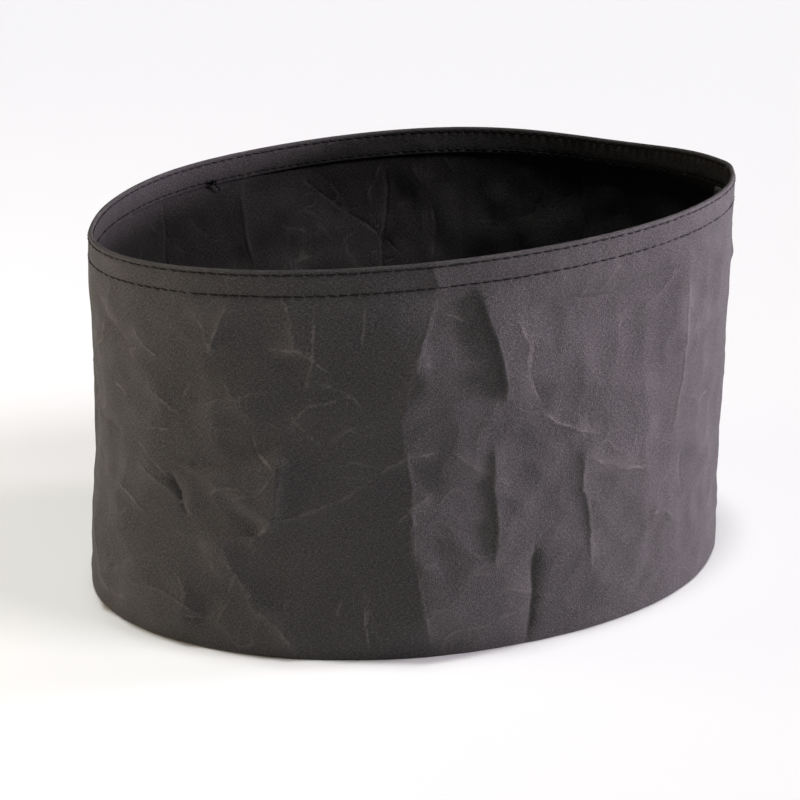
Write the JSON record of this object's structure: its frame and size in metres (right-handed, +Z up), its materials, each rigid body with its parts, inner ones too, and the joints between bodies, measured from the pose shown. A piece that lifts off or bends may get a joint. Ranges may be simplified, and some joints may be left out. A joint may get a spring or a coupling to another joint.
{
  "type": "fabric grow bag",
  "caption": "Oval open-topped grow bag sewn from dark washable paper fabric: a hemmed wall strip, a side seam and a sewn-in flat base.",
  "frame": {"origin": "middle of the oval base's underside, on the surface that the bag stands on", "axes": "+Z up out of the open mouth, +X along the long way of the oval towards the side seam, +Y towards the back of the bag"},
  "size_m": [0.2988, 0.2108, 0.176],
  "materials": {
    "paper_fabric": "matte creased washable paper, dark charcoal",
    "thread": "black polyester sewing thread"
  },
  "bodies": {
    "root": {"wall_panel": "paper_fabric", "base_panel": "paper_fabric", "rim_edge_needle_thread": "thread", "rim_edge_bobbin_thread": "thread", "hem_needle_thread": "thread", "hem_bobbin_thread": "thread", "base_seam_needle_thread": "thread", "base_seam_bobbin_thread": "thread", "side_seam_needle_thread": "thread", "side_seam_bobbin_thread": "thread", "hem_thread_knot": "thread", "rim_thread_tail": "thread"}
  },
  "joints": []
}
